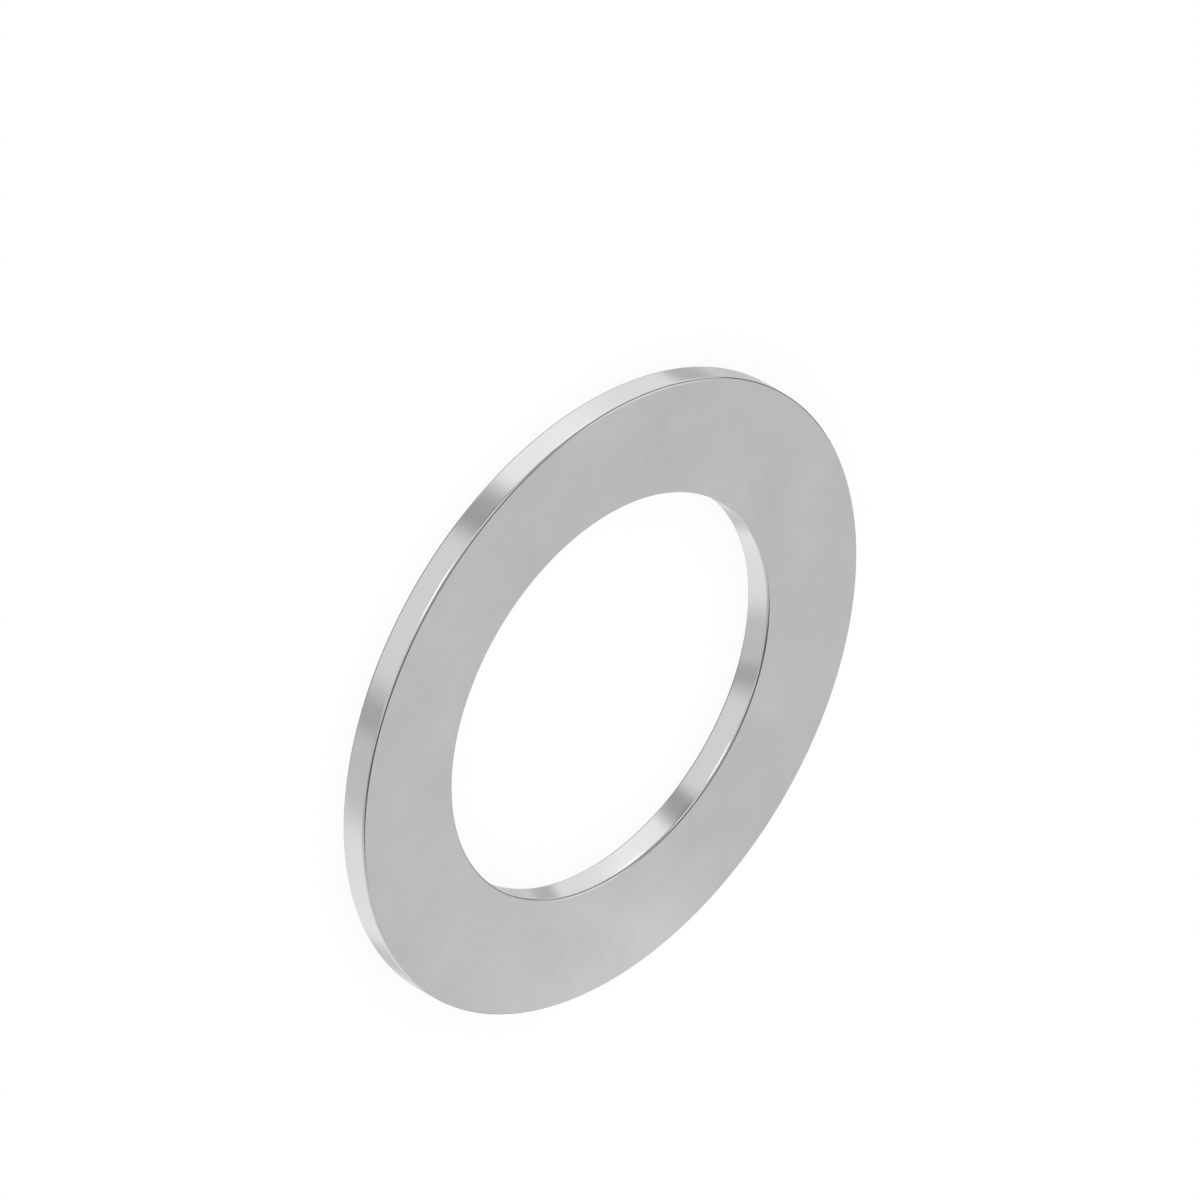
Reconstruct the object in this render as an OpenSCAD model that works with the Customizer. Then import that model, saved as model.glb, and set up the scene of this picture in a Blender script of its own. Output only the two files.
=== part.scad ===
// Hardened flat washer: one turned steel ring with a plain bore, two flat
// seating faces and a small tumbled radius on each of its four edges.
// It lies flat on its lower face. The origin is the centre of that face,
// and +Z runs up the bore. All sizes are in millimetres.

/* [Ring] */
// Diameter over the outer rim
outer_d = 47; // [40:0.5:60]
// Diameter of the bore
bore_d = 30; // [16:0.5:36]
// Height from the lower face to the upper face
thickness = 2; // [1:0.1:5]

/* [Edges] */
// Radius that tumbling leaves on the two edges of the outer rim
rim_edge_r = 0.2; // [0.05:0.05:0.4]
// Radius that tumbling leaves on the two edges of the bore
bore_edge_r = 0.2; // [0.05:0.05:0.4]

/* [Hidden] */
// Radius of the outer rim
outer_r = outer_d / 2;
// Radius of the bore's wall
bore_r = bore_d / 2;
// Facets of a full circle in the preview
$fn = 128;

// What an edge radius takes off a square corner that sits at the origin,
// with the metal towards +X and +Y
module corner_waste(edge_r) {
    difference() {
        square(edge_r);
        translate([edge_r, edge_r]) circle(r = edge_r);
    }
}

// What the two edge radii take off a wall that stands on the Y axis, from
// the lower face to the upper one, with the metal towards +X
module wall_waste(edge_r) {
    corner_waste(edge_r);
    translate([0, thickness]) mirror([0, 1]) corner_waste(edge_r);
}

// Half section of the ring, from the bore's wall to the outer rim
module ring_section() {
    difference() {
        translate([bore_r, 0]) square([outer_r - bore_r, thickness]);
        translate([bore_r, 0]) wall_waste(bore_edge_r);
        translate([outer_r, 0]) mirror([1, 0]) wall_waste(rim_edge_r);
    }
}

// The washer, turned from its section
module washer() {
    color("silver") rotate_extrude() ring_section();
}

washer();
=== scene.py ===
"""A hardened flat washer in a plain white studio.

The washer is one turned steel ring: two lapped seating faces, a turned rim and
bore, and a small tumbled radius on each of its four edges. It lies flat on the
floor. The camera looks down on it along an isometric line, and is rolled on
that line so that the ring leans in the picture as it does in the photograph.
"""

import logging
import math
from abc import ABC, abstractmethod
from dataclasses import dataclass
from enum import Enum

import bmesh
import bpy
from mathutils import Euler, Matrix, Vector


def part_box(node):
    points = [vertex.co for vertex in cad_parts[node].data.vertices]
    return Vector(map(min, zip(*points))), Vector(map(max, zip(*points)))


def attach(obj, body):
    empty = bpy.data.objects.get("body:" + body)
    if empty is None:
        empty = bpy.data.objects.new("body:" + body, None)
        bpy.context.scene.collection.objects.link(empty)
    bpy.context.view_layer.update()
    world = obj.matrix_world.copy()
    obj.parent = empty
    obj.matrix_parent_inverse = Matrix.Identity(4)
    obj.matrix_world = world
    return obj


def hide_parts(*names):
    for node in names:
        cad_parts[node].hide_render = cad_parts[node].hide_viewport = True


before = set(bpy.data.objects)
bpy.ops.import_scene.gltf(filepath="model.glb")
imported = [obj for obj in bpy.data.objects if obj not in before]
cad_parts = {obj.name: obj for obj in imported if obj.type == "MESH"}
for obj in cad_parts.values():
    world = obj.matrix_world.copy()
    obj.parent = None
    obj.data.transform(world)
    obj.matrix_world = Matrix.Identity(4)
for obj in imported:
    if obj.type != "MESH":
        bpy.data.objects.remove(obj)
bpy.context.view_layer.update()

log = logging.getLogger("washer")

NODE = "washer"
BODY = "root"
WHITE = (1.0, 1.0, 1.0, 1.0)
# A millimetre in the scene's metres
MM = 0.001
# Points that are nearer to each other than this are taken as one
SAME_PLACE = 0.001 * MM
# Half width of a dome patch that leaves no gap behind, in degrees
ALL_ROUND = 200

Socket = bpy.types.NodeSocket
Value = float | tuple[float, ...] | Socket


class Curve(Enum):
    """How a ramp runs from one end to the other."""

    SOFT = "SMOOTHSTEP"
    STRAIGHT = "LINEAR"


class Graph:
    """Adds the nodes of one shader tree and links them.

    Attributes:
        NOISE_LOW: Value below which a noise node hardly ever goes.
        NOISE_HIGH: Value above which it hardly ever goes.
        CLOUD_ROUGHNESS: How strong each finer layer of a cloud is, next to the layer before it.
    """

    NOISE_LOW = 0.3
    NOISE_HIGH = 0.7
    CLOUD_ROUGHNESS = 0.6

    def __init__(self, tree: bpy.types.NodeTree) -> None:
        """Start with the tree of a material or of the world, and empty it."""
        tree.nodes.clear()
        self.tree = tree

    def add(
        self, kind: str, inputs: dict[str | int, Value] | None = None, **options: object
    ) -> bpy.types.Node:
        """Add one node.

        Args:
            kind: The node's type name.
            inputs: What each named or numbered input gets: a value, or an output to link.
            options: The node's own settings, such as its operation.

        Returns:
            The new node.
        """
        node = self.tree.nodes.new(kind)
        for option, setting in options.items():
            setattr(node, option, setting)
        for name, value in (inputs or {}).items():
            socket = node.inputs[name]
            if isinstance(value, Socket):
                self.tree.links.new(value, socket)
            else:
                socket.default_value = value
        return node

    def math(self, operation: str, *values: Value) -> Socket:
        """Work out one sum or function of the values."""
        return self.add("ShaderNodeMath", dict(enumerate(values)), operation=operation).outputs[0]

    def ramp(
        self,
        value: Socket,
        start: float,
        end: float,
        low: float = 0.0,
        high: float = 1.0,
        curve: Curve = Curve.SOFT,
    ) -> Socket:
        """Turn a value between start and end into one between low and high, and hold it outside them."""
        inputs = {"Value": value, "From Min": start, "From Max": end, "To Min": low, "To Max": high}
        return self.add("ShaderNodeMapRange", inputs, interpolation_type=curve.value).outputs["Result"]

    def stretch(self, noise: Socket) -> Socket:
        """Stretch noise, which stays round its middle, over the range from 0 to 1."""
        return self.ramp(noise, self.NOISE_LOW, self.NOISE_HIGH, curve=Curve.STRAIGHT)

    def clouds(self, position: Socket, grain: float, detail: float, swirl: float = 0.0) -> Socket:
        """Make cloudy noise.

        Args:
            position: Where the noise is read.
            grain: How far apart its largest clouds are, in metres.
            detail: How many finer layers lie on them.
            swirl: How far the clouds are pulled about.

        Returns:
            The noise, from 0 to 1.
        """
        inputs = {
            "Vector": position,
            "Scale": 1.0 / grain,
            "Detail": detail,
            "Roughness": self.CLOUD_ROUGHNESS,
            "Distortion": swirl,
        }
        noise = self.add("ShaderNodeTexNoise", inputs)
        return self.stretch(noise.outputs["Fac"])

    def lines(self, height: Socket, spacing: float, detail: float) -> Socket:
        """Make uneven level lines.

        Args:
            height: The height at which the lines are read.
            spacing: How far apart they are, in metres.
            detail: How many finer layers lie between them.

        Returns:
            The lines, from 0 to 1.
        """
        inputs = {"W": height, "Scale": 1.0 / spacing, "Detail": detail}
        noise = self.add("ShaderNodeTexNoise", inputs, noise_dimensions="1D")
        return self.stretch(noise.outputs["Fac"])


@dataclass(frozen=True)
class Pattern:
    """What varies over a finish, each from 0 to 1.

    Attributes:
        shade: How light the metal is.
        sheen: How much duller the metal is.
        relief: How high the surface stands.
    """

    shade: Socket
    sheen: Socket
    relief: Socket


@dataclass(frozen=True)
class SteelFinish(ABC):
    """A finish of the ring's bright steel.

    Attributes:
        name: The material's name.
        colour: The metal's own colour.
        shade_spread: Share by which the colour goes up and down.
        roughness: The middle roughness.
        roughness_spread: How far the roughness goes up and down.
        relief: Height of the surface's marks, in metres.
    """

    name: str
    colour: tuple[float, float, float]
    shade_spread: float
    roughness: float
    roughness_spread: float
    relief: float

    @abstractmethod
    def pattern(self, graph: Graph, position: Socket) -> Pattern:
        """Lay out the finish's marks.

        Args:
            graph: The material's tree.
            position: The place on the washer, in metres.

        Returns:
            What varies over the finish.
        """

    def tone(self, share: float) -> tuple[float, float, float, float]:
        """Give the colour, lighter by a share of itself, or darker if the share is below 0."""
        return (*(channel * (1.0 + share) for channel in self.colour), 1.0)

    def material(self) -> bpy.types.Material:
        """Build the finish.

        Returns:
            The new material.
        """
        material = bpy.data.materials.new(self.name)
        material.use_nodes = True
        graph = Graph(material.node_tree)
        position = graph.add("ShaderNodeTexCoord").outputs["Object"]
        pattern = self.pattern(graph, position)
        tones = {"A": self.tone(-self.shade_spread), "B": self.tone(self.shade_spread)}
        colour = graph.add("ShaderNodeMix", {"Factor": pattern.shade, **tones}, data_type="RGBA")
        shiniest = self.roughness - self.roughness_spread
        dullest = self.roughness + self.roughness_spread
        roughness = graph.ramp(pattern.sheen, 0.0, 1.0, shiniest, dullest, Curve.STRAIGHT)
        bump = graph.add("ShaderNodeBump", {"Height": pattern.relief, "Distance": self.relief})
        shader = graph.add(
            "ShaderNodeBsdfPrincipled",
            {
                "Base Color": colour.outputs["Result"],
                "Metallic": 1.0,
                "Roughness": roughness,
                "Normal": bump.outputs["Normal"],
            },
        )
        graph.add("ShaderNodeOutputMaterial", {"Surface": shader.outputs["BSDF"]})
        return material


@dataclass(frozen=True)
class LappedFace(SteelFinish):
    """A seating face, lapped to an even satin with faint clouds in it.

    Attributes:
        cloud: Size of the clouds that lapping leaves, in metres.
        grit: Size of the lapping grit's marks, in metres.
    """

    cloud: float
    grit: float

    def pattern(self, graph: Graph, position: Socket) -> Pattern:
        """Lay clouds over the face, with the grit's fine marks in them.

        Args:
            graph: The material's tree.
            position: The place on the washer, in metres.

        Returns:
            What varies over the finish.
        """
        clouds = graph.clouds(position, self.cloud, detail=4.0, swirl=0.3)
        marks = graph.clouds(position, self.grit, detail=2.0)
        return Pattern(shade=clouds, sheen=marks, relief=marks)


@dataclass(frozen=True)
class TurnedWall(SteelFinish):
    """The rim or the bore, turned bright, with the tool's fine lines round it.

    Attributes:
        feed: How far apart the tool's lines are, in metres.
    """

    feed: float

    def pattern(self, graph: Graph, position: Socket) -> Pattern:
        """Lay the tool's lines round the wall.

        Args:
            graph: The material's tree.
            position: The place on the washer, in metres.

        Returns:
            What varies over the finish.
        """
        height = graph.add("ShaderNodeSeparateXYZ", {"Vector": position}).outputs["Z"]
        lines = graph.lines(height, self.feed, detail=2.0)
        return Pattern(shade=lines, sheen=lines, relief=lines)


@dataclass(frozen=True)
class TumbledEdge(SteelFinish):
    """A rounded edge, burnished by tumbling.

    Attributes:
        dimple: Size of the dimples that tumbling leaves, in metres.
    """

    dimple: float

    def pattern(self, graph: Graph, position: Socket) -> Pattern:
        """Lay shallow dimples over the edge."""
        dimples = graph.clouds(position, self.dimple, detail=2.0)
        return Pattern(shade=dimples, sheen=dimples, relief=dimples)


class Region(Enum):
    """A part of the ring's surface, with the finish that it gets."""

    FACE = LappedFace(
        name="lapped_face",
        colour=(0.54, 0.54, 0.54),
        shade_spread=0.045,
        roughness=0.2,
        roughness_spread=0.02,
        relief=0.00004 * MM,
        cloud=6.0 * MM,
        grit=0.3 * MM,
    )
    WALL = TurnedWall(
        name="turned_wall",
        colour=(0.545, 0.54, 0.533),
        shade_spread=0.012,
        roughness=0.14,
        roughness_spread=0.02,
        relief=0.0004 * MM,
        feed=0.16 * MM,
    )
    EDGE = TumbledEdge(
        name="tumbled_edge",
        colour=(0.54, 0.536, 0.531),
        shade_spread=0.02,
        roughness=0.14,
        roughness_spread=0.02,
        relief=0.0003 * MM,
        dimple=0.4 * MM,
    )


@dataclass
class WasherRing:
    """The washer: its section turned round the Z axis, with rounded edges.

    Attributes:
        outer_r: Radius of the outer rim.
        bore_r: Radius of the bore.
        thickness: Height of the ring.
        rim_edge_r: Radius on the two edges of the rim.
        bore_edge_r: Radius on the two edges of the bore.
        turn_steps: Steps round the ring.
        edge_steps: Steps across an edge radius.
        flat_weight: How far large flats go before small facets in the normals, from 1 to 100.
    """

    outer_r: float
    bore_r: float
    thickness: float
    rim_edge_r: float
    bore_edge_r: float
    turn_steps: int = 360
    edge_steps: int = 8
    flat_weight: int = 100

    @classmethod
    def from_frame(cls) -> "WasherRing":
        """Take the sizes from the CAD solid.

        Returns:
            A ring of the solid's size.
        """
        low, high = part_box(NODE)
        points = [vertex.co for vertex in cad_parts[NODE].data.vertices]
        radii = [point.xy.length for point in points]
        seat_radii = [point.xy.length for point in points if high.z - point.z < SAME_PLACE]
        outer_r = max(radii)
        bore_r = min(radii)
        return cls(
            outer_r=outer_r,
            bore_r=bore_r,
            thickness=high.z - low.z,
            rim_edge_r=outer_r - max(seat_radii),
            bore_edge_r=min(seat_radii) - bore_r,
        )

    def build(self) -> bpy.types.Object:
        """Model the ring and put it in the CAD solid's place.

        Returns:
            The finished piece.
        """
        piece = self.section()
        bpy.ops.object.mode_set(mode="EDIT")
        self.turn()
        self.round_edges(piece.data, self.outer_r, self.rim_edge_r)
        self.round_edges(piece.data, self.bore_r, self.bore_edge_r)
        bpy.ops.object.mode_set(mode="OBJECT")
        bpy.ops.object.shade_smooth()
        flat_first = piece.modifiers.new("flat_first", "WEIGHTED_NORMAL")
        flat_first.weight = self.flat_weight
        bpy.ops.object.modifier_apply(modifier=flat_first.name)
        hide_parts(NODE)
        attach(piece, BODY)
        return piece

    def section(self) -> bpy.types.Object:
        """Stand the ring's half section on the X axis.

        Returns:
            A new piece that holds one upright rectangle.
        """
        bpy.ops.object.select_all(action="DESELECT")
        bpy.ops.mesh.primitive_plane_add(
            size=1.0,
            location=((self.bore_r + self.outer_r) / 2, 0.0, self.thickness / 2),
            rotation=(math.pi / 2, 0.0, 0.0),
        )
        piece = bpy.context.active_object
        piece.name = "washer_ring"
        piece.data.name = "washer_ring"
        piece.scale = (self.outer_r - self.bore_r, self.thickness, 1.0)
        bpy.ops.object.transform_apply(location=True, rotation=True, scale=True)
        return piece

    def turn(self) -> None:
        """Turn the section's outline round the Z axis into a closed ring."""
        bpy.ops.mesh.select_all(action="SELECT")
        bpy.ops.mesh.delete(type="ONLY_FACE")
        bpy.ops.mesh.select_all(action="SELECT")
        bpy.ops.mesh.spin(
            steps=self.turn_steps,
            angle=math.tau,
            center=(0.0, 0.0, 0.0),
            axis=(0.0, 0.0, 1.0),
        )
        bpy.ops.mesh.select_all(action="SELECT")
        bpy.ops.mesh.remove_doubles(threshold=SAME_PLACE)
        bpy.ops.mesh.normals_make_consistent(inside=False)

    def round_edges(self, mesh: bpy.types.Mesh, wall_r: float, edge_r: float) -> None:
        """Round the upper and the lower edge of one wall.

        Args:
            mesh: The ring's mesh, in edit mode.
            wall_r: Radius of the wall.
            edge_r: Radius that the edges get.
        """
        bpy.ops.mesh.select_mode(type="EDGE")
        bpy.ops.mesh.select_all(action="DESELECT")
        ring = bmesh.from_edit_mesh(mesh)
        for edge in ring.edges:
            first, second = (vertex.co for vertex in edge.verts)
            level = abs(first.z - second.z) < edge_r / 2
            off_wall = max(abs(end.xy.length - wall_r) for end in (first, second))
            edge.select_set(level and off_wall < edge_r / 2)
        bmesh.update_edit_mesh(mesh)
        bpy.ops.mesh.bevel(offset=edge_r, segments=self.edge_steps, profile=0.5, affect="EDGES")

    def dress(self, piece: bpy.types.Object) -> None:
        """Give each part of the surface its finish.

        Args:
            piece: The finished ring.
        """
        regions = list(Region)
        for region in regions:
            piece.data.materials.append(region.value.material())
        for polygon in piece.data.polygons:
            polygon.material_index = regions.index(self.region_of(polygon.normal))

    def region_of(self, normal: Vector) -> Region:
        """Tell which part of the surface looks a given way.

        Args:
            normal: The way that the surface looks.

        Returns:
            The part that it belongs to.
        """
        upright = math.pi / 2
        # An edge's first facet is tilted by half a step, and its last one is half a step off upright
        first_facet = upright / self.edge_steps / 2
        tilt = math.acos(min(abs(normal.z), 1.0))
        if tilt < first_facet / 2:
            return Region.FACE
        if tilt > upright - first_facet / 2:
            return Region.WALL
        return Region.EDGE


@dataclass(frozen=True)
class DomePatch:
    """A soft-edged patch of the studio dome that is lighter or darker than the rest.

    Angles are in degrees. An azimuth of 0 is the camera's side and grows towards
    -X, and an elevation of 0 is level with the floor.

    Attributes:
        azimuth: Middle of the patch round the dome.
        elevation: Middle of the patch up the dome.
        half_width: Half of its width.
        half_height: Half of its height.
        soft: How far its edges fade.
        gain: Light that it adds, or takes away if it is below 0.
    """

    azimuth: float
    elevation: float
    half_width: float
    half_height: float
    soft: float
    gain: float

    def light(self, graph: Graph, azimuth: Socket, elevation: Socket) -> Socket:
        """Work out the light that the patch adds.

        Args:
            graph: The world's tree.
            azimuth: Azimuth of the place on the dome, in radians.
            elevation: Its elevation, in radians.

        Returns:
            The light to add there.
        """
        turned = graph.math("SUBTRACT", azimuth, math.radians(self.azimuth))
        aside = graph.math("WRAP", turned, math.pi, -math.pi)
        above = graph.math("SUBTRACT", elevation, math.radians(self.elevation))
        across = self.inside(graph, aside, self.half_width)
        upright = self.inside(graph, above, self.half_height)
        return graph.math("MULTIPLY", graph.math("MULTIPLY", across, upright), self.gain)

    def inside(self, graph: Graph, off: Socket, half: float) -> Socket:
        """Tell how far inside the patch a place is, one way.

        Args:
            graph: The world's tree.
            off: Angle from the patch's middle, in radians.
            half: Half of the patch's extent that way, in degrees.

        Returns:
            1 inside the patch, 0 outside it, and between them on its soft edge.
        """
        start = math.radians(half - self.soft / 2)
        end = math.radians(half + self.soft / 2)
        return graph.ramp(graph.math("ABSOLUTE", off), start, end, 1.0, 0.0)


# Tall panels and the gaps between them, which the rim and the bore mirror as upright bands
WALL_PATCHES = (
    DomePatch(azimuth=-5, elevation=-40, half_width=29, half_height=52, soft=8, gain=0.24),
    DomePatch(azimuth=-46, elevation=-27, half_width=6, half_height=27, soft=7, gain=-0.24),
    DomePatch(azimuth=-113, elevation=-40, half_width=29, half_height=48, soft=20, gain=0.36),
    DomePatch(azimuth=-152, elevation=-40, half_width=11, half_height=40, soft=10, gain=-0.12),
    DomePatch(azimuth=31.5, elevation=-27, half_width=9, half_height=27, soft=12, gain=-0.42),
    DomePatch(azimuth=60, elevation=-40, half_width=30, half_height=40, soft=40, gain=0.22),
    DomePatch(azimuth=83, elevation=-40, half_width=39.5, half_height=40, soft=8, gain=0.34),
    DomePatch(azimuth=132, elevation=-27, half_width=8, half_height=27, soft=8, gain=-0.2),
    DomePatch(azimuth=168, elevation=-40, half_width=18, half_height=40, soft=14, gain=-0.16),
)

# A lamp, small panels and gaps, which the rounded edges mirror as fine lines
EDGE_PATCHES = (
    DomePatch(azimuth=1, elevation=-10, half_width=9, half_height=12, soft=8, gain=2.2),
    DomePatch(azimuth=30, elevation=46, half_width=14, half_height=14, soft=12, gain=0.35),
    DomePatch(azimuth=31, elevation=-14, half_width=9, half_height=14, soft=10, gain=-0.3),
    DomePatch(azimuth=68, elevation=28, half_width=20, half_height=28, soft=12, gain=-0.38),
    DomePatch(azimuth=70, elevation=-22, half_width=9, half_height=7, soft=6, gain=0.9),
    DomePatch(azimuth=107, elevation=25, half_width=19, half_height=18, soft=12, gain=-0.38),
    DomePatch(azimuth=140, elevation=50, half_width=26, half_height=9, soft=8, gain=0.5),
    DomePatch(azimuth=142, elevation=-6, half_width=18, half_height=15, soft=8, gain=-0.6),
    DomePatch(azimuth=180, elevation=-10, half_width=26, half_height=14, soft=10, gain=-0.2),
    DomePatch(azimuth=-70, elevation=36, half_width=14, half_height=16, soft=14, gain=-0.35),
    DomePatch(azimuth=-92, elevation=56, half_width=18, half_height=9, soft=12, gain=-0.25),
)

# A dark disc below the floor and a light one overhead, each all round the dome
POLE_PATCHES = (
    DomePatch(azimuth=0, elevation=-90, half_width=ALL_ROUND, half_height=38, soft=10, gain=-0.55),
    DomePatch(azimuth=0, elevation=90, half_width=ALL_ROUND, half_height=7, soft=5, gain=0.6),
)


@dataclass(frozen=True)
class StudioDome:
    """The white studio: plain white to look at, with soft panels and gaps in what the steel mirrors.

    Attributes:
        level: Light of the dome between its panels.
        top_level: Light of its dark top.
        top_azimuth: Side of the dome to which the dark top leans, in degrees.
        top_elevation: Elevation of its middle, in degrees.
        top_radius: How far the dark top reaches from its middle, in degrees.
        top_soft: How far its edge fades, in degrees.
        patches: The panels and the gaps between them.
    """

    level: float = 0.9
    top_level: float = 0.2
    top_azimuth: float = -130.0
    top_elevation: float = 82.0
    top_radius: float = 32.0
    top_soft: float = 10.0
    patches: tuple[DomePatch, ...] = WALL_PATCHES + EDGE_PATCHES + POLE_PATCHES

    def build(self) -> bpy.types.World:
        """Make it the scene's world.

        Returns:
            The new world.
        """
        world = bpy.data.worlds.new("studio_dome")
        world.use_nodes = True
        # Only the rays that leave a surface find the dome: it isn't sampled as a lamp
        world.cycles.sampling_method = "NONE"
        graph = Graph(world.node_tree)
        white = graph.add("ShaderNodeBackground", {"Color": WHITE, "Strength": 1.0}).outputs[0]
        strength = self.light(graph)
        mirrored = graph.add("ShaderNodeBackground", {"Color": WHITE, "Strength": strength}).outputs[0]
        glossy = graph.add("ShaderNodeLightPath").outputs["Is Glossy Ray"]
        shown = graph.add("ShaderNodeMixShader", {0: glossy, 1: white, 2: mirrored})
        graph.add("ShaderNodeOutputWorld", {"Surface": shown.outputs["Shader"]})
        bpy.context.scene.world = world
        return world

    def light(self, graph: Graph) -> Socket:
        """Work out the light that comes from each way.

        Args:
            graph: The world's tree.

        Returns:
            The light.
        """
        way = graph.add("ShaderNodeTexCoord").outputs["Generated"]
        axes = graph.add("ShaderNodeSeparateXYZ", {"Vector": way}).outputs
        left = graph.math("MULTIPLY", axes["X"], -1.0)
        near = graph.math("MULTIPLY", axes["Y"], -1.0)
        azimuth = graph.math("ARCTAN2", left, near)
        elevation = graph.math("ARCSINE", axes["Z"])
        light = self.under_top(graph, way)
        for patch in self.patches:
            light = graph.math("ADD", light, patch.light(graph, azimuth, elevation))
        return graph.math("MAXIMUM", light, 0.0)

    def under_top(self, graph: Graph, way: Socket) -> Socket:
        """Work out the dome's light without its patches.

        Args:
            graph: The world's tree.
            way: The way to the place on the dome.

        Returns:
            The light, which falls off towards the dark top.
        """
        turn = math.radians(self.top_azimuth)
        upright = math.radians(self.top_elevation)
        level = math.cos(upright)
        middle = (-math.sin(turn) * level, -math.cos(turn) * level, math.sin(upright))
        facing = graph.add("ShaderNodeVectorMath", {0: way, 1: middle}, operation="DOT_PRODUCT")
        off_middle = graph.math("ARCCOSINE", facing.outputs["Value"])
        start = math.radians(self.top_radius - self.top_soft / 2)
        end = math.radians(self.top_radius + self.top_soft / 2)
        return graph.ramp(off_middle, start, end, self.top_level, self.level)


@dataclass(frozen=True)
class Floor:
    """The pale floor, which keeps the washer's shadow and stays out of what the steel mirrors.

    Attributes:
        size: Length of its sides, in metres.
        drop: Gap below the washer, in metres.
        paint: How much light its paint gives back.
        shadow_share: Share of its light that the washer can shade.
    """

    size: float = 2.0
    drop: float = 0.01 * MM
    paint: float = 0.9
    shadow_share: float = 0.12

    def build(self) -> bpy.types.Object:
        """Lay the floor.

        Returns:
            The floor.
        """
        bpy.ops.object.select_all(action="DESELECT")
        bpy.ops.mesh.primitive_plane_add(size=self.size, location=(0.0, 0.0, -self.drop))
        floor = bpy.context.active_object
        floor.name = "floor"
        floor.data.materials.append(self.material())
        floor.visible_glossy = False
        floor.visible_transmission = False
        floor.visible_shadow = False
        return floor

    def material(self) -> bpy.types.Material:
        """Build the floor's paint, which looks white where nothing shades it.

        Returns:
            The new material.
        """
        material = bpy.data.materials.new("floor_paint")
        material.use_nodes = True
        graph = Graph(material.node_tree)
        colour = (self.paint, self.paint, self.paint, 1.0)
        paint = graph.add("ShaderNodeBsdfDiffuse", {"Color": colour}).outputs["BSDF"]
        # With the paint's share of the light, the glow adds up to white
        steady = (1.0 - self.shadow_share * self.paint) / (1.0 - self.shadow_share)
        glow = graph.add("ShaderNodeEmission", {"Color": WHITE, "Strength": steady}).outputs["Emission"]
        seen = graph.add("ShaderNodeMixShader", {0: self.shadow_share, 1: glow, 2: paint})
        camera = graph.add("ShaderNodeLightPath").outputs["Is Camera Ray"]
        shown = graph.add("ShaderNodeMixShader", {0: camera, 1: paint, 2: seen.outputs["Shader"]})
        graph.add("ShaderNodeOutputMaterial", {"Surface": shown.outputs["Shader"]})
        return material


@dataclass(frozen=True)
class PhotoCamera:
    """The photograph's view: isometric, without perspective, and rolled on its line of sight.

    Attributes:
        elevation: Angle of the line of sight above the floor, in radians.
        roll: Turn of the camera on its line of sight, in radians.
        distance: From the washer's middle to the camera, in metres.
        clip_ratio: How many times nearer and farther than the washer the camera still sees.
        frame_px: Width and height of the photograph, in pixels.
        washer_px: Long axis of the washer's outer edge in it, in pixels.
        middle_px: Where the washer's middle is in it, from its upper left corner.
    """

    elevation: float = math.asin(1.0 / math.sqrt(3.0))
    roll: float = math.radians(120.0)
    distance: float = 0.4
    clip_ratio: float = 100.0
    frame_px: float = 1200.0
    washer_px: float = 698.6
    middle_px: tuple[float, float] = (600.0, 690.5)

    def build(self, ring: WasherRing) -> bpy.types.Object:
        """Set up the camera and make it the scene's own.

        Args:
            ring: The washer that it looks at.

        Returns:
            The camera.
        """
        data = bpy.data.cameras.new("photo_camera")
        data.type = "ORTHO"
        metres_per_px = 2.0 * ring.outer_r / self.washer_px
        data.ortho_scale = self.frame_px * metres_per_px
        data.clip_start = self.distance / self.clip_ratio
        data.clip_end = self.distance * self.clip_ratio
        tilt = Euler((math.pi / 2 - self.elevation, 0.0, 0.0)).to_matrix()
        aim = tilt @ Matrix.Rotation(self.roll, 3, "Z")
        right_px = self.middle_px[0] - self.frame_px / 2
        down_px = self.middle_px[1] - self.frame_px / 2
        off = Vector((-right_px * metres_per_px, down_px * metres_per_px, self.distance))
        camera = bpy.data.objects.new("photo_camera", data)
        camera.rotation_euler = aim.to_euler()
        camera.location = Vector((0.0, 0.0, ring.thickness / 2)) + aim @ off
        bpy.context.scene.collection.objects.link(camera)
        bpy.context.scene.camera = camera
        return camera


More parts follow.
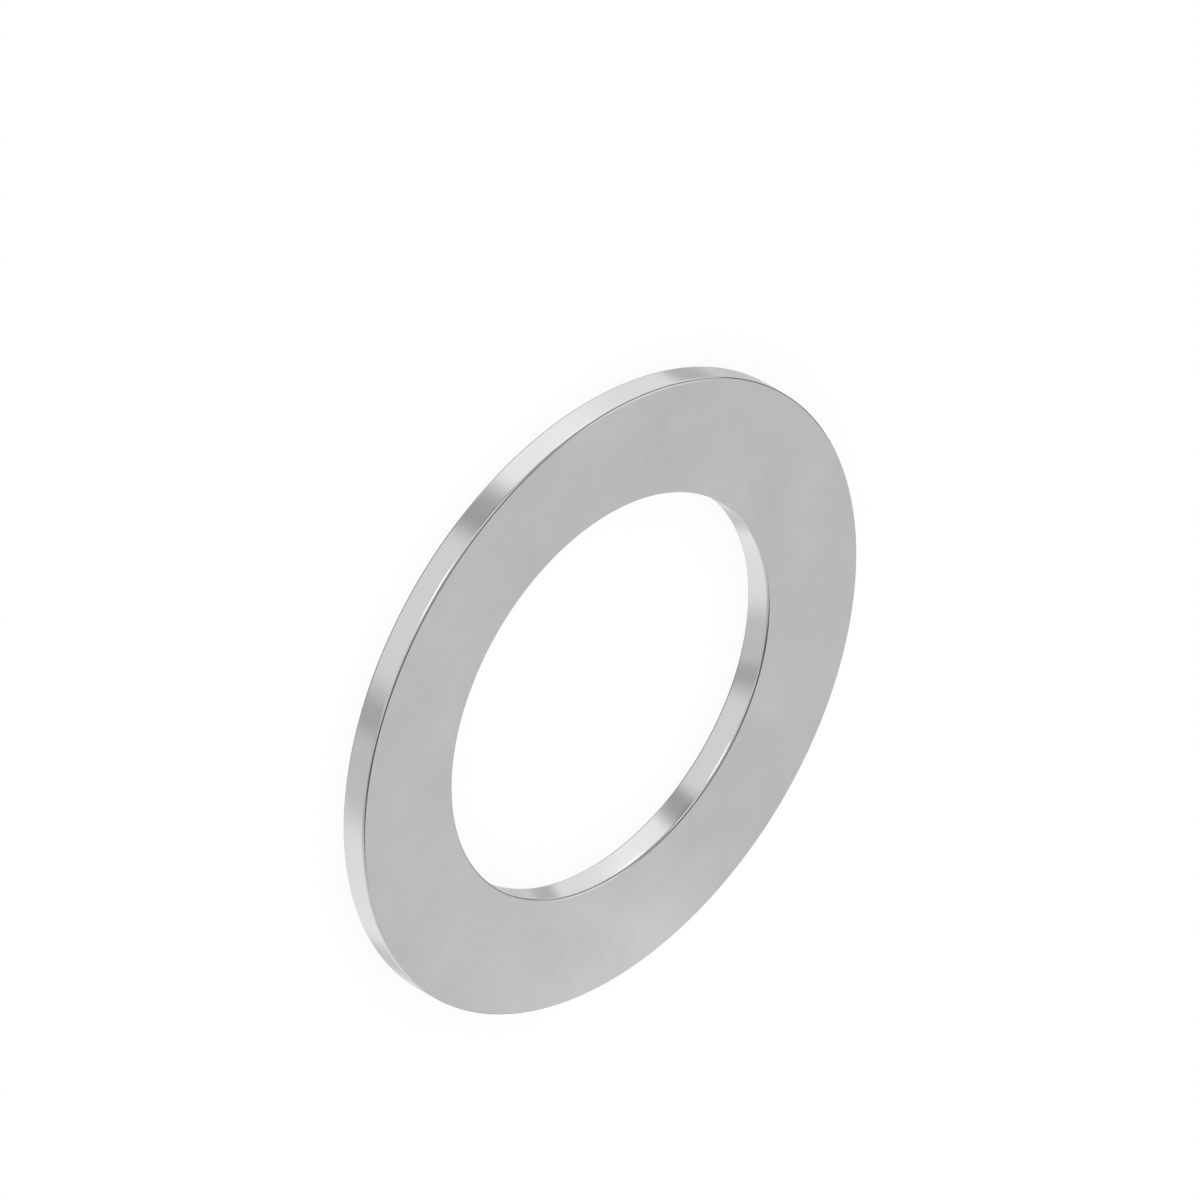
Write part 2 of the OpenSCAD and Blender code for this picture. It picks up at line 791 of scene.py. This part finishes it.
@dataclass(frozen=True)
class Softbox:
    """A dim square lamp behind the washer, which lightens one side of its upper face.

    Attributes:
        mirrored_at: X and Y of the place where the upper face's plane mirrors the lamp's middle to
            the camera, in metres. It is off the ring, so only a corner of the lamp shows in the steel.
        distance: From that place to the lamp, in metres.
        size: Length of the lamp's sides, in metres.
        power: The lamp's power, in watts.
    """

    mirrored_at: tuple[float, float] = (21.0 * MM, 29.0 * MM)
    distance: float = 0.06
    size: float = 0.022
    power: float = 0.00033

    def build(self, ring: WasherRing, elevation: float) -> bpy.types.Object:
        """Hang the lamp.

        Args:
            ring: The washer that it lights.
            elevation: Angle of the camera's line of sight above the floor, in radians.

        Returns:
            The lamp.
        """
        data = bpy.data.lights.new("softbox", "AREA")
        data.shape = "SQUARE"
        data.size = self.size
        data.energy = self.power
        lamp = bpy.data.objects.new("softbox", data)
        away = Vector((0.0, math.cos(elevation), math.sin(elevation)))
        lamp.location = Vector((*self.mirrored_at, ring.thickness)) + away * self.distance
        lamp.rotation_euler = away.to_track_quat("Z", "Y").to_euler()
        lamp.visible_camera = False
        bpy.context.scene.collection.objects.link(lamp)
        return lamp


def main() -> None:
    """Build the washer, then the studio and the camera, and report each piece."""
    logging.basicConfig(level=logging.INFO, format="%(name)s: %(message)s")
    bpy.context.scene.view_settings.view_transform = "Standard"
    ring = WasherRing.from_frame()
    piece = ring.build()
    ring.dress(piece)
    log.info(
        "%s: %.1f x %.1f x %.1f mm, edges %.2f and %.2f mm, %d faces",
        piece.name,
        2 * ring.outer_r / MM,
        2 * ring.bore_r / MM,
        ring.thickness / MM,
        ring.rim_edge_r / MM,
        ring.bore_edge_r / MM,
        len(piece.data.polygons),
    )
    floor = Floor()
    ground = floor.build()
    log.info("%s: %.1f m square", ground.name, floor.size)
    dome = StudioDome()
    world = dome.build()
    log.info("%s: %d patches", world.name, len(dome.patches))
    view = PhotoCamera()
    camera = view.build(ring)
    log.info("%s: %.1f mm across", camera.name, camera.data.ortho_scale / MM)
    softbox = Softbox()
    lamp = softbox.build(ring, view.elevation)
    log.info("%s: %.0f mm square", lamp.name, softbox.size / MM)


if __name__ == "__main__":
    main()
